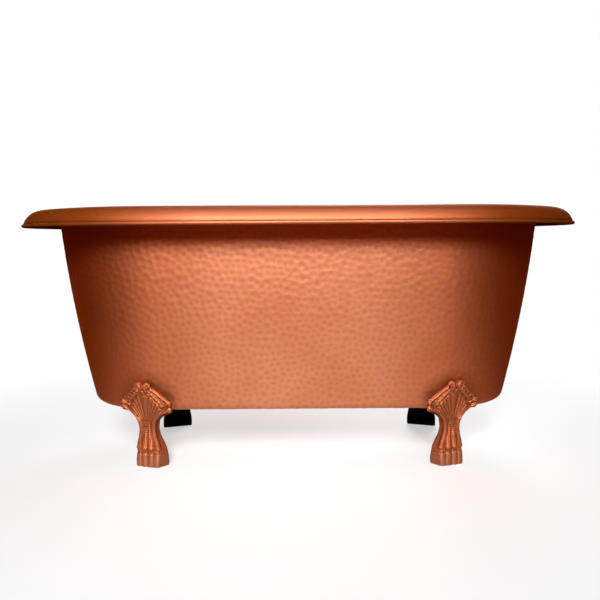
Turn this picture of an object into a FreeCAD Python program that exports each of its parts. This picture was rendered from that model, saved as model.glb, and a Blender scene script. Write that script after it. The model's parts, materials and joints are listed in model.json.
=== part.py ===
import FreeCAD, Part
import math
import os

# Overall sizes of the bath, in millimetres
LENGTH = 1500.0
WIDTH = 800.0
HEIGHT = 652.0
BASE_CLEARANCE = 140.0
SHEET = 2.0

# Wall: a shallow outward bow from a rounded base corner up to the rim seam
BASE_RADIUS = 208.0
RIM_OVERHANG = 98.0
WALL_BOW = 8.0
BASE_CORNER = 20.0
TURNED_EDGE = 12.0
RIM_SEAM_DROP = 42.0

# Rolled rim and its wired edge
RIM_BEND = 22.0
ROLL_RADIUS = 47.0
ROLL_DROP = 2.0
ROLL_END_ANGLE = 13.0
EDGE_WIRE = 5.0
WIRE_CLEARANCE = 0.1

# Floor pan, which falls to the waste in the middle
FLAT_BAND = 70.0
FLOOR_FALL = 6.0
WASTE_SEAT_RADIUS = 46.0

# Waste fitting
WASTE_THREAD = 47.8
WASTE_BORE = 40.0
FLANGE_DIAMETER = 72.0
FLANGE_THICKNESS = 3.5
SEAT_CHAMFER = 4.0
UPPER_SEAL = 1.5
LOWER_GASKET = 4.0
SLIP_WASHER = 1.5
LOCKNUT_HEIGHT = 9.0
LOCKNUT_FLATS = 60.0
RING_DIAMETER = 66.0
THREAD_RELIEF = 2.0
RELIEF_DEPTH = 1.0
TRAP_THREAD = 18.0
CROSS_DEPTH = 16.0
CROSS_HEIGHT = 6.0
CROSS_ARM = 4.0
HUB_DIAMETER = 12.0

# Stopper
POST_DIAMETER = 6.0
SLEEVE_DIAMETER = 11.0
SLEEVE_LENGTH = 16.0
CAP_DIAMETER = 58.0
CAP_EDGE = 2.5
CAP_DOME = 4.0
CAP_BOSS = 18.0
CAP_BOSS_DEPTH = 5.0
STOPPER_SEAL = 3.0

# Feet: where they stand, and their castings
FOOT_BEARING = 8.0
FOOT_INSET = 14.1
FOOT_YAW = 20.0
PAW_FRONT = 21.0
PAW_FRONT_WIDTH = 50.0
PAW_BACK = 18.0
PAW_BACK_WIDTH = 89.0
PAW_TAPER = 2.0
NAIL_HEIGHT = 34.0
ANKLE_HEIGHT = 84.0
ANKLE_FRONT = 17.0
ANKLE_FRONT_WIDTH = 32.0
ANKLE_BACK = 14.0
ANKLE_BACK_WIDTH = 46.0
KNEE_FRONT = 24.0
KNEE_FRONT_WIDTH = 46.0
KNEE_BACK = 22.0
KNEE_BACK_WIDTH = 60.0
LEG_CORNER = 7.0
CASTING_WALL = 8.0
SOLE_THICKNESS = 10.0

# Toes of a paw: a knuckle on a tendon, over a nail
TOE_COUNT = 4
TOE_PITCH = 14.5
TOE_RADIUS = 8.2
TOE_SETBACK = 5.0
KNUCKLE_HEIGHT = 46.0
KNUCKLE_DEPTH = 5.0
NAIL_RADIUS = 9.5
NAIL_DEPTH = 8.3
NAIL_FLARE = 0.8
TENDON_TIP = 4.0
TENDON_SPREAD = 0.75

# Fan on the knee of each foot: a bowed plate with flutes, rolled borders, volutes and crest curls
FAN_WIDTH = 132.0
FAN_HEIGHT = 106.0
FAN_RISE = 67.0
FAN_LEAN = 11.0
FAN_THICKNESS = 18.0
FAN_FRONT = 20.0
FAN_CURVE = 300.0
FAN_ROOT_WIDTH = 36.0
FAN_CORNER_LOW = 42.0
FAN_CORNER_HIGH = 62.0
FAN_CREST = 26.0
FLUTES_EACH_SIDE = 4
FLUTE_STEP = 11.5
FLUTE_START = 18.0
FLUTE_STOP = 3.0
TONGUE_STOP = 12.0
FLUTE_ROOT = 1.8
FLUTE_TIP = 6.4
FLUTE_RELIEF = 2.8
TONGUE_ROOT = 2.6
TONGUE_TIP = 7.6
TONGUE_RELIEF = 4.5
BORDER_RADIUS = 5.5
BORDER_RELIEF = 4.0
CURL_RADIUS = 11.5
CURL_RELIEF = 10.0
CURL_DROP = 2.0
CURL_LENGTH = 20.0
CURL_TAIL = 4.0
VOLUTE_RADIUS = 8.0
VOLUTE_RELIEF = 6.5
VOLUTE_INSET = 2.0

# Fixing of the feet under the base
PAD_THICKNESS = 6.0
PAD_LENGTH = 54.0
PAD_WIDTH = 54.0
PAD_CORNER = 8.0
STUD_SETBACK = 36.0
STUD_DIAMETER = 10.0
STUD_HOLE = 11.0
LEDGE_THICKNESS = 14.0
LEDGE_WIDTH = 52.0
LEDGE_BEHIND_STUD = 22.0
STUD_WASHER = 20.0
STUD_WASHER_THICKNESS = 2.0
STUD_NUT_FLATS = 17.0
STUD_NUT_HEIGHT = 8.4
STUD_TIP = 3.0

# Clearances
SCREWED = 0.05
RUNNING = 0.06
CAST_GAP = 0.4
SEATING_GAP = 0.3

UP = FreeCAD.Vector(0, 0, 1)
ORIGIN = FreeCAD.Vector(0, 0, 0)
HALF_STRAIGHT = (LENGTH - WIDTH) / 2
QUARTER = 90.0
HALF_TURN = 180.0
TOUCHING = 1e-6


def at(radius, height):
    """A point of the bath's upright section."""
    return FreeCAD.Vector(radius, 0, height)


def polar(centre, radius, degrees):
    """The point of the section at an angle on a circle."""
    turn = math.radians(degrees)
    return centre + at(radius * math.cos(turn), radius * math.sin(turn))


def bearing(centre, point):
    """The angle of the section at which a point lies from a centre."""
    return math.degrees(math.atan2(point.z - centre.z, point.x - centre.x))


def arc_edge(centre, radius, start, end):
    """An arc of the section between two angles."""
    middle = polar(centre, radius, (start + end) / 2)
    return Part.Arc(polar(centre, radius, start), middle, polar(centre, radius, end)).toShape()


def sheet_face(start, bends):
    """The section of a bent sheet: a wet and a dry face through its bends, closed across both ends."""
    edges = []
    ends = []
    for side, first in enumerate(start):
        last = first
        for centre, radii, angles in bends:
            bend_start = polar(centre, radii[side], angles[0])
            if not last.isEqual(bend_start, TOUCHING):
                edges.append(Part.makeLine(last, bend_start))
            edges.append(arc_edge(centre, radii[side], *angles))
            last = polar(centre, radii[side], angles[1])
        ends.append(last)
    edges += [Part.makeLine(*start), Part.makeLine(*ends)]
    return Part.Face(Part.Wire(Part.__sortEdges__(edges)))


def disc(centre, radius):
    """A round face of the section."""
    return Part.Face(Part.Wire(Part.makeCircle(radius, centre, FreeCAD.Vector(0, 1, 0))))


def front_half(face):
    """Carries a section round the front half of the bath: a bend, a straight and a bend."""
    right = face.copy()
    right.translate(FreeCAD.Vector(HALF_STRAIGHT, 0, 0))
    right_bend = right.revolve(FreeCAD.Vector(HALF_STRAIGHT, 0, 0), UP, -QUARTER)
    side = face.copy()
    side.rotate(ORIGIN, UP, -QUARTER)
    side.translate(FreeCAD.Vector(-HALF_STRAIGHT, 0, 0))
    straight = side.extrude(FreeCAD.Vector(2 * HALF_STRAIGHT, 0, 0))
    left_bend = side.revolve(FreeCAD.Vector(-HALF_STRAIGHT, 0, 0), UP, -QUARTER)
    return right_bend.fuse([straight, left_bend]).removeSplitter()


def turned_about(shape):
    """The same piece on the other side of the bath."""
    other = shape.copy()
    other.rotate(ORIGIN, UP, HALF_TURN)
    return other


def whole_ring(face):
    """Carries a section all the way round the bath."""
    front = front_half(face)
    return front.fuse(turned_about(front)).removeSplitter()


def oval_wire(radius, height):
    """The bath's plan outline at a radius, as two straights and two half circles."""
    edges = []
    for end in (1, -1):
        tip = FreeCAD.Vector(end * (HALF_STRAIGHT + radius), 0, height)
        near = FreeCAD.Vector(end * HALF_STRAIGHT, -end * radius, height)
        far = FreeCAD.Vector(end * HALF_STRAIGHT, end * radius, height)
        edges.append(Part.Arc(near, tip, far).toShape())
        edges.append(Part.makeLine(far, FreeCAD.Vector(-end * HALF_STRAIGHT, end * radius, height)))
    return Part.Wire(edges)


def round_wire(radius, height):
    """A circle in as many pieces as the plan outline has."""
    edges = []
    for end in (1, -1):
        split = math.radians(QUARTER * HALF_STRAIGHT / LENGTH)
        near = FreeCAD.Vector(end * radius * math.sin(split), -end * radius * math.cos(split), height)
        far = FreeCAD.Vector(near.x, -near.y, height)
        next_near = FreeCAD.Vector(-near.x, far.y, height)
        tip = FreeCAD.Vector(end * radius, 0, height)
        side = FreeCAD.Vector(0, end * radius, height)
        edges.append(Part.Arc(near, tip, far).toShape())
        edges.append(Part.Arc(far, side, next_near).toShape())
    return Part.Wire(edges)


def turned(points):
    """A turned piece about the waste's axis, from its section's corners."""
    return Part.Face(Part.makePolygon(points + points[:1])).revolve(ORIGIN, UP, 2 * HALF_TURN)


def ring(outer, inner, low, high):
    """A flat or tall ring about the waste's axis."""
    return turned([at(inner, low), at(outer, low), at(outer, high), at(inner, high)])


def hexagon(flats, low, high):
    """A six-sided prism about the waste's axis."""
    sides = 6
    reach = flats / 2 / math.cos(math.pi / sides)
    points = []
    for index in range(sides + 1):
        turn = 2 * math.pi * index / sides
        points.append(FreeCAD.Vector(reach * math.cos(turn), reach * math.sin(turn), low))
    return Part.Face(Part.makePolygon(points)).extrude(FreeCAD.Vector(0, 0, high - low))


def bore(diameter, low, high):
    """The round space of a hole about the waste's axis."""
    return Part.makeCylinder(diameter / 2, high - low, FreeCAD.Vector(0, 0, low))


def dome_arc(radius, height, rise):
    """The arc of the section over a dome, from its edge to its top."""
    sphere = (radius**2 + rise**2) / (2 * rise)
    centre = at(0, height + rise - sphere)
    return arc_edge(centre, sphere, bearing(centre, at(radius, height)), QUARTER)


def rounded_wire(height, corner, back, half_back, front, half_front):
    """A four-sided outline with rounded corners across a foot, from its back to its front."""
    outline = [(front, -half_front), (front, half_front), (back, half_back), (back, -half_back)]
    points = [FreeCAD.Vector(x, y, height) for x, y in outline]
    edges = []
    for index, point in enumerate(points):
        before = (points[index - 1] - point).normalize()
        after = (points[(index + 1) % len(points)] - point).normalize()
        half_angle = before.getAngle(after) / 2
        start = point + before * (corner / math.tan(half_angle))
        end = point + after * (corner / math.tan(half_angle))
        middle = point + (before + after).normalize() * (corner / math.sin(half_angle) - corner)
        if edges:
            edges.append(Part.makeLine(edges[-1].Vertexes[-1].Point, start))
        edges.append(Part.Arc(start, middle, end).toShape())
    edges.append(Part.makeLine(edges[-1].Vertexes[-1].Point, edges[0].Vertexes[0].Point))
    return Part.Wire(edges)


def block(low, high, corner, back, front, half_width):
    """A plate with rounded corners across a foot."""
    face = Part.Face(rounded_wire(low, corner, back, half_width, front, half_width))
    return face.extrude(FreeCAD.Vector(0, 0, high - low))


# Section of the bath: the wall's bow, its base corner and the rim's two bends
base_point = at(BASE_RADIUS, BASE_CLEARANCE)
seam_point = at(WIDTH / 2 - RIM_OVERHANG, HEIGHT - RIM_SEAM_DROP)
chord = seam_point - base_point
bow_radius = ((chord.Length / 2) ** 2 + WALL_BOW**2) / (2 * WALL_BOW)
inward = at(-chord.z, chord.x).normalize()
bow_centre = (base_point + seam_point) * 0.5 + inward * (bow_radius - WALL_BOW)
seam_angle = bearing(bow_centre, seam_point)
corner_height = BASE_CLEARANCE + BASE_CORNER
corner_offset = math.sqrt((bow_radius - BASE_CORNER) ** 2 - (corner_height - bow_centre.z) ** 2)
corner_centre = at(bow_centre.x + corner_offset, corner_height)
corner_angle = bearing(bow_centre, corner_centre)
pan_radius = corner_centre.x - TURNED_EDGE

bend_side = polar(ORIGIN, RIM_BEND, seam_angle)
wall_top = polar(bow_centre, bow_radius - SHEET, seam_angle)
wall_heading = polar(ORIGIN, 1.0, seam_angle + QUARTER)
rise = (HEIGHT - RIM_BEND - wall_top.z - bend_side.z) / wall_heading.z
bend_centre = wall_top + wall_heading * rise + bend_side

wire_hole = EDGE_WIRE / 2 + WIRE_CLEARANCE
bead_radius = wire_hole + SHEET
bead_reach = wire_hole + SHEET / 2
roll_to_bead = polar(ORIGIN, ROLL_RADIUS - SHEET / 2, ROLL_END_ANGLE)
roll_to_bead = roll_to_bead + polar(ORIGIN, bead_reach, ROLL_END_ANGLE - QUARTER)
roll_centre = at(WIDTH / 2 - bead_radius - roll_to_bead.x, HEIGHT - ROLL_DROP - ROLL_RADIUS)
bead_centre = roll_centre + roll_to_bead
between = roll_centre - bend_centre
deck_angle = bearing(bend_centre, roll_centre)
deck_angle += math.degrees(math.acos((RIM_BEND - ROLL_RADIUS) / between.Length))

base_bend = (corner_centre, (BASE_CORNER - SHEET, BASE_CORNER), (-QUARTER, corner_angle))
wall_bow = (bow_centre, (bow_radius - SHEET, bow_radius), (corner_angle, seam_angle))
rim_bend = (bend_centre, (RIM_BEND, RIM_BEND - SHEET), (seam_angle + HALF_TURN, deck_angle))
rim_roll = (roll_centre, (ROLL_RADIUS, ROLL_RADIUS - SHEET), (deck_angle, ROLL_END_ANGLE))

parts = {}

# Walls: two hammered sheets that meet at the ends of the bath
turned_edge = (at(pan_radius, BASE_CLEARANCE + SHEET), at(pan_radius, BASE_CLEARANCE))
parts["wall_front"] = front_half(sheet_face(turned_edge, [base_bend, wall_bow]))
parts["wall_rear"] = turned_about(parts["wall_front"])

# Rim: a rolled sheet whose lower edge is wrapped round a wire
rim_seam = (wall_top, seam_point)
rim_face = sheet_face(rim_seam, [rim_bend, rim_roll]).fuse(disc(bead_centre, bead_radius))
rim_face = rim_face.removeSplitter().cut(disc(bead_centre, wire_hole)).Faces[0]
parts["rim_front"] = front_half(rim_face)
parts["rim_rear"] = turned_about(parts["rim_front"])
parts["edge_wire"] = whole_ring(disc(bead_centre, EDGE_WIRE / 2))

# Floor pan: a flat band, a fall to the middle and a flat seat for the waste
pan_top = BASE_CLEARANCE + SHEET
seat_top = pan_top - FLOOR_FALL
seat_under = seat_top - SHEET
dish_radius = pan_radius - FLAT_BAND


def dish(rim_height):
    """The sunken middle of the pan below a height."""
    rings = [oval_wire(dish_radius, rim_height), round_wire(WASTE_SEAT_RADIUS, rim_height - FLOOR_FALL)]
    return Part.makeLoft(rings, True, True)


waste_hole = WASTE_THREAD + 2 * SEATING_GAP
pan = Part.Face(oval_wire(pan_radius, BASE_CLEARANCE)).extrude(FreeCAD.Vector(0, 0, SHEET))
pan = pan.fuse(dish(BASE_CLEARANCE)).cut(dish(pan_top))
parts["floor_pan"] = pan.cut(bore(waste_hole, seat_under - SHEET, pan_top)).removeSplitter()

# Waste: flange above the seat, threaded tail below, a cross that carries the stopper's post
thread = WASTE_THREAD / 2
flange_low = seat_top + UPPER_SEAL
flange_top = flange_low + FLANGE_THICKNESS
nut_top = seat_under - LOWER_GASKET - SLIP_WASHER
nut_low = nut_top - LOCKNUT_HEIGHT
trap_top = nut_low - THREAD_RELIEF
tail_low = trap_top - TRAP_THREAD
body = turned([
    at(WASTE_BORE / 2, tail_low),
    at(thread, tail_low),
    at(thread, trap_top),
    at(thread - RELIEF_DEPTH, trap_top),
    at(thread - RELIEF_DEPTH, nut_low),
    at(thread, nut_low),
    at(thread, flange_low),
    at(FLANGE_DIAMETER / 2, flange_low),
    at(FLANGE_DIAMETER / 2 - FLANGE_THICKNESS / 2, flange_top),
    at(WASTE_BORE / 2 + SEAT_CHAMFER, flange_top),
    at(WASTE_BORE / 2, flange_top - SEAT_CHAMFER),
])
cross_top = flange_top - CROSS_DEPTH
cross_low = cross_top - CROSS_HEIGHT
arm_reach = (WASTE_BORE / 2 + thread - RELIEF_DEPTH) / 2
arm = Part.makeBox(2 * arm_reach, CROSS_ARM, CROSS_HEIGHT)
arm.translate(FreeCAD.Vector(-arm_reach, -CROSS_ARM / 2, cross_low))
crossing_arm = arm.copy()
crossing_arm.rotate(ORIGIN, UP, QUARTER)
hub = bore(HUB_DIAMETER, cross_low, cross_top)
body = body.fuse([arm, crossing_arm, hub]).removeSplitter()
parts["waste_body"] = body.cut(bore(POST_DIAMETER + 2 * SCREWED, cross_low, cross_top))

seal_bore = thread + SEATING_GAP
parts["waste_seal"] = ring(FLANGE_DIAMETER / 2, seal_bore, seat_top, flange_low)
parts["waste_gasket"] = ring(RING_DIAMETER / 2, seal_bore, seat_under - LOWER_GASKET, seat_under)
parts["slip_washer"] = ring(RING_DIAMETER / 2, seal_bore, nut_top, nut_top + SLIP_WASHER)
locknut = hexagon(LOCKNUT_FLATS, nut_low, nut_top)
parts["waste_locknut"] = locknut.cut(bore(WASTE_THREAD + 2 * SCREWED, nut_low, nut_top))

# Stopper: a post screwed into the cross, and a cap on a sleeve that slides on it
cap_low = flange_top + SEATING_GAP
boss_low = cap_low - CAP_BOSS_DEPTH
sleeve_low = cross_top + SEATING_GAP
sleeve_top = sleeve_low + SLEEVE_LENGTH
sleeve_hole = POST_DIAMETER / 2 + RUNNING
parts["stopper_post"] = bore(POST_DIAMETER, cross_low, sleeve_top - SEATING_GAP)
parts["stopper_sleeve"] = ring(SLEEVE_DIAMETER / 2, sleeve_hole, sleeve_low, sleeve_top)
socket = SLEEVE_DIAMETER / 2 + SCREWED
cap_edge_top = cap_low + CAP_EDGE
cap_corners = [
    at(0, cap_edge_top + CAP_DOME),
    at(0, sleeve_top),
    at(socket, sleeve_top),
    at(socket, boss_low),
    at(CAP_BOSS / 2, boss_low),
    at(CAP_BOSS / 2, cap_low),
    at(CAP_DIAMETER / 2, cap_low),
    at(CAP_DIAMETER / 2, cap_edge_top),
]
cap_edges = [Part.makeLine(*pair) for pair in zip(cap_corners, cap_corners[1:])]
cap_edges.append(dome_arc(CAP_DIAMETER / 2, cap_edge_top, CAP_DOME))
parts["stopper_cap"] = Part.Face(Part.Wire(cap_edges)).revolve(ORIGIN, UP, 2 * HALF_TURN)
seal_slope = WASTE_BORE / 2 + SEAT_CHAMFER - SEATING_GAP
parts["stopper_seal"] = turned([
    at(CAP_BOSS / 2, cap_low - STOPPER_SEAL),
    at(seal_slope - STOPPER_SEAL, cap_low - STOPPER_SEAL),
    at(seal_slope, cap_low),
    at(CAP_BOSS / 2, cap_low),
])

# Feet: one casting, trimmed to the bath's corner and mirrored to the other three
ledge_top = BASE_CLEARANCE - PAD_THICKNESS
ledge_low = ledge_top - LEDGE_THICKNESS
fan_root = BASE_CLEARANCE + FAN_RISE - FAN_HEIGHT * math.cos(math.radians(FAN_LEAN))


def leg(inset, behind, low):
    """The paw, ankle and knee, or the hollow inside them when drawn in from the outside."""
    nail_back = PAW_BACK - PAW_TAPER
    nail_width = PAW_BACK_WIDTH - 2 * PAW_TAPER
    sections = [
        (low, PAW_BACK, PAW_BACK_WIDTH, PAW_FRONT, PAW_FRONT_WIDTH),
        (NAIL_HEIGHT, nail_back, nail_width, PAW_FRONT - PAW_TAPER, PAW_FRONT_WIDTH),
        (ANKLE_HEIGHT, ANKLE_BACK, ANKLE_BACK_WIDTH, ANKLE_FRONT, ANKLE_FRONT_WIDTH),
        (ledge_top, KNEE_BACK, KNEE_BACK_WIDTH, KNEE_FRONT, KNEE_FRONT_WIDTH),
    ]
    wires = []
    for height, back, back_width, front, front_width in sections:
        sides = (-back - behind, back_width / 2 - inset, front - inset, front_width / 2 - inset)
        wires.append(rounded_wire(height, LEG_CORNER, *sides))
    return Part.makeLoft(wires, True)


def on_fan(across, up, lift):
    """A point over the bowed front of the palmette, before it leans and takes its place."""
    return FreeCAD.Vector(lift - across**2 / (2 * FAN_CURVE), across, up)


def set_fan(shape):
    """Leans the palmette, or a point of it, out over the bath's corner."""
    leaned = FreeCAD.Rotation(FreeCAD.Vector(0, 1, 0), FAN_LEAN)
    placement = FreeCAD.Placement(FreeCAD.Vector(FAN_FRONT, 0, fan_root), leaned)
    if isinstance(shape, FreeCAD.Vector):
        return placement.multVec(shape)
    return shape.transformed(placement.Matrix)


def toe(index):
    """A knuckle, its tendon and its nail. An outer tendon runs up into the fan's border."""
    outermost = (TOE_COUNT - 1) / 2
    across = index - outermost
    side = across * TOE_PITCH
    front = PAW_FRONT - TOE_SETBACK * (across / outermost) ** 2
    knuckle = FreeCAD.Vector(front - KNUCKLE_DEPTH, side, KNUCKLE_HEIGHT)
    tendon_end = FreeCAD.Vector(ANKLE_FRONT - TENDON_TIP, side * TENDON_SPREAD, fan_root)
    tip = TENDON_TIP
    if abs(across) == outermost:
        border_end = math.copysign(FAN_ROOT_WIDTH / 2, side)
        tendon_end = set_fan(on_fan(border_end, 0, BORDER_RELIEF - BORDER_RADIUS))
        tip = BORDER_RADIUS
    along = tendon_end - knuckle
    tendon = Part.makeCone(TOE_RADIUS - NAIL_FLARE, tip, along.Length, knuckle, along)
    nail_foot = FreeCAD.Vector(front - NAIL_DEPTH, side, 0)
    nail = Part.makeCone(NAIL_RADIUS + NAIL_FLARE, NAIL_RADIUS, NAIL_HEIGHT, nail_foot)
    return [Part.makeSphere(TOE_RADIUS, knuckle), tendon, nail]


def bead(radius, *points):
    """A round bead along the arc through three points."""
    path = Part.Arc(*points).toShape()
    section = Part.makeCircle(radius, points[0], path.tangentAt(path.FirstParameter))
    return Part.Wire(path).makePipe(Part.Face(Part.Wire(section)))


def fan_side():
    """One side of the palmette: half its plate, two borders, flutes, volutes and a crest curl."""
    root = FAN_ROOT_WIDTH / 2
    corner = FAN_WIDTH / 2
    crest = FAN_CREST / 2
    eighth = math.radians(QUARTER / 2)
    low = (root, 0)
    waist = (corner - (corner - root) * math.cos(eighth), FAN_CORNER_LOW * math.sin(eighth))
    flare = (corner, FAN_CORNER_LOW)
    high = (corner, FAN_CORNER_HIGH)
    top = (crest, FAN_HEIGHT)
    outline = [FreeCAD.Vector(0, *spot) for spot in ((0, 0), low, flare, high, top, (0, FAN_HEIGHT))]
    edges = [Part.makeLine(*pair) for pair in zip(outline, outline[1:] + outline[:1])]
    edges[1] = Part.Arc(outline[1], FreeCAD.Vector(0, *waist), outline[2]).toShape()
    side = Part.Face(Part.Wire(edges)).extrude(FreeCAD.Vector(-FAN_THICKNESS, 0, 0))
    side = side.common(Part.makeCylinder(FAN_CURVE, FAN_HEIGHT, FreeCAD.Vector(-FAN_CURVE, 0, 0)))

    shoulder = ((corner + crest) / 2, (FAN_CORNER_HIGH + FAN_HEIGHT) / 2)
    for spots in ((low, waist, flare), (high, shoulder, top)):
        points = [on_fan(*spot, BORDER_RELIEF - BORDER_RADIUS) for spot in spots]
        side = side.fuse(bead(BORDER_RADIUS, *points))

    slope = outline[3] - outline[4]
    square = FreeCAD.Vector(0, -slope.z, slope.y).normalize()
    for number in range(1, FLUTES_EACH_SIDE + 1):
        turn = math.radians(FLUTE_STEP * number)
        way = FreeCAD.Vector(0, math.sin(turn), math.cos(turn))
        reach = square.dot(outline[3]) / square.dot(way) - FLUTE_STOP
        root_lift = FLUTE_RELIEF * FLUTE_ROOT / FLUTE_TIP - FLUTE_ROOT
        start = on_fan(way.y * FLUTE_START, way.z * FLUTE_START, root_lift)
        end = on_fan(way.y * reach, way.z * reach, FLUTE_RELIEF - FLUTE_TIP)
        along = end - start
        side = side.fuse(Part.makeCone(FLUTE_ROOT, FLUTE_TIP, along.Length, start, along))
    for up in (FAN_CORNER_LOW + VOLUTE_INSET, FAN_CORNER_HIGH - VOLUTE_INSET):
        volute = on_fan(corner - VOLUTE_INSET, up, VOLUTE_RELIEF - VOLUTE_RADIUS)
        side = side.fuse(Part.makeSphere(VOLUTE_RADIUS, volute))
    curl = on_fan(CURL_RADIUS, FAN_HEIGHT - CURL_DROP, CURL_RELIEF - CURL_RADIUS)
    tail = on_fan(CURL_RADIUS, curl.z - CURL_LENGTH, 0)
    along = tail - curl
    curl_leaf = Part.makeCone(CURL_RADIUS, CURL_TAIL, along.Length, curl, along)
    return side.fuse([curl_leaf, Part.makeSphere(CURL_RADIUS, curl)])


def fan():
    """The palmette: its two sides and the tongue between them, leaning out over the bath's corner."""
    side = fan_side()
    tongue_root = on_fan(0, FLUTE_START, TONGUE_RELIEF * TONGUE_ROOT / TONGUE_TIP - TONGUE_ROOT)
    tongue_end = on_fan(0, FAN_HEIGHT - TONGUE_STOP - TONGUE_TIP, TONGUE_RELIEF - TONGUE_TIP)
    along = tongue_end - tongue_root
    palmette = side.fuse(side.mirror(ORIGIN, FreeCAD.Vector(0, 1, 0))).removeSplitter()
    palmette = palmette.fuse(Part.makeCone(TONGUE_ROOT, TONGUE_TIP, along.Length, tongue_root, along))
    palmette = palmette.fuse(Part.makeSphere(TONGUE_TIP, tongue_end))
    return set_fan(palmette)


foot_radius = BASE_RADIUS - FOOT_INSET
foot_turn = math.radians(FOOT_BEARING)
foot_place = FreeCAD.Vector(
    -HALF_STRAIGHT - foot_radius * math.sin(foot_turn),
    -foot_radius * math.cos(foot_turn),
    0,
)


def under_corner(shape):
    """Sets a piece of the front left foot in its place."""
    placed = shape.copy()
    placed.rotate(ORIGIN, UP, -QUARTER - FOOT_YAW)
    placed.translate(foot_place)
    return placed


def corners(shape):
    """The front left piece and its mirror images at the other three corners."""
    across = FreeCAD.Vector(1, 0, 0)
    along = FreeCAD.Vector(0, 1, 0)
    front_right = shape.mirror(ORIGIN, across)
    return {
        "front_left": shape,
        "front_right": front_right,
        "rear_left": shape.mirror(ORIGIN, along),
        "rear_right": front_right.mirror(ORIGIN, along),
    }


bath_edges = [
    Part.makeLine(at(0, BASE_CLEARANCE - CAST_GAP), at(corner_centre.x, BASE_CLEARANCE - CAST_GAP)),
    arc_edge(corner_centre, BASE_CORNER + CAST_GAP, -QUARTER, corner_angle),
    arc_edge(bow_centre, bow_radius + CAST_GAP, corner_angle, seam_angle),
]
bath_edges.append(Part.makeLine(bath_edges[-1].Vertexes[-1].Point, at(0, HEIGHT - RIM_SEAM_DROP)))
bath_edges.append(Part.makeLine(at(0, HEIGHT - RIM_SEAM_DROP), at(0, BASE_CLEARANCE - CAST_GAP)))
bath_room = front_half(Part.Face(Part.Wire(Part.__sortEdges__(bath_edges))))

stud_x = -STUD_SETBACK
casting = leg(0, 0, 0)
for index in range(TOE_COUNT):
    for piece in toe(index):
        casting = casting.fuse(piece)
casting = casting.fuse(fan())
casting = casting.cut(leg(CASTING_WALL, 2 * CASTING_WALL, SOLE_THICKNESS))
ledge = block(ledge_low, ledge_top, LEG_CORNER, stud_x - LEDGE_BEHIND_STUD, FAN_FRONT, LEDGE_WIDTH / 2)
casting = casting.fuse(ledge)
stud_way = bore(STUD_HOLE, ledge_low, ledge_top)
stud_way.translate(FreeCAD.Vector(stud_x, 0, 0))
foot = under_corner(casting.cut(stud_way)).cut(bath_room).removeSplitter()
for corner_name, piece in corners(foot).items():
    parts["foot_" + corner_name] = piece

# Pads brazed under the base, with the studs, washers and nuts that hold the feet
half_pad = PAD_LENGTH / 2
pad = block(ledge_top, BASE_CLEARANCE, PAD_CORNER, stud_x - half_pad, stud_x + half_pad, PAD_WIDTH / 2)
stud_seat = bore(STUD_DIAMETER + 2 * SCREWED, ledge_top, BASE_CLEARANCE)
stud_seat.translate(FreeCAD.Vector(stud_x, 0, 0))
for corner_name, piece in corners(under_corner(pad.cut(stud_seat))).items():
    parts["foot_pad_" + corner_name] = piece

washer_low = ledge_low - STUD_WASHER_THICKNESS
stud_nut_low = washer_low - STUD_NUT_HEIGHT
stud_washer = ring(STUD_WASHER / 2, STUD_DIAMETER / 2 + SEATING_GAP, washer_low, ledge_low)
stud_nut = hexagon(STUD_NUT_FLATS, stud_nut_low, washer_low)
stud_nut = stud_nut.cut(bore(STUD_DIAMETER + 2 * SCREWED, stud_nut_low, washer_low))
fasteners = {
    "foot_studs": bore(STUD_DIAMETER, stud_nut_low - STUD_TIP, BASE_CLEARANCE),
    "foot_washers": stud_washer,
    "foot_nuts": stud_nut,
}
for name, fastener in fasteners.items():
    fastener.translate(FreeCAD.Vector(stud_x, 0, 0))
    parts[name] = Part.makeCompound(list(corners(under_corner(fastener)).values()))

os.makedirs("parts", exist_ok=True)
for name, shape in parts.items():
    shape.exportStep(f"parts/{name}.step")
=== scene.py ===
import json
import math
import random
import bpy
import numpy
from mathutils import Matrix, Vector, kdtree, noise


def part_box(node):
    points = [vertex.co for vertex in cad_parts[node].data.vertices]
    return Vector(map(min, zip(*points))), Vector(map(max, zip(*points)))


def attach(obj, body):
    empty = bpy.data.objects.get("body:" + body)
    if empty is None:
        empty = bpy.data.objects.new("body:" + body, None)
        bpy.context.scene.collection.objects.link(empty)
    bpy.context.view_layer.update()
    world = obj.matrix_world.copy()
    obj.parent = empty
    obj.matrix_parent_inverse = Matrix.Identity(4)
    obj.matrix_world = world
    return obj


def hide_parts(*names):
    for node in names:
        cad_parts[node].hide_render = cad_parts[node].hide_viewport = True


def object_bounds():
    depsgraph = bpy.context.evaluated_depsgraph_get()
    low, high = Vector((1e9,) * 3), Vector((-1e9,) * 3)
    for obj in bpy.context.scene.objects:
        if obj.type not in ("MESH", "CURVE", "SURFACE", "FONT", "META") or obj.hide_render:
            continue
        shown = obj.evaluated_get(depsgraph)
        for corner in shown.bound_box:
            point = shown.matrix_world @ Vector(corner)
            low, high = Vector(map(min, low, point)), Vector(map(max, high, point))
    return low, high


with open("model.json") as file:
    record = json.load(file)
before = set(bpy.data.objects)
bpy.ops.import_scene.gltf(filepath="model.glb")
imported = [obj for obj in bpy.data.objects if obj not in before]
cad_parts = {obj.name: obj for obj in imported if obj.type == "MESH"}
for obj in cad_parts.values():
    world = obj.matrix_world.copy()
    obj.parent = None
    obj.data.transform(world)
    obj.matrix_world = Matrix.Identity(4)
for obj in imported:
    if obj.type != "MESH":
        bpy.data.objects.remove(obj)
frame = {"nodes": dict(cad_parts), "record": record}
cad_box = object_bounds()

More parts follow.
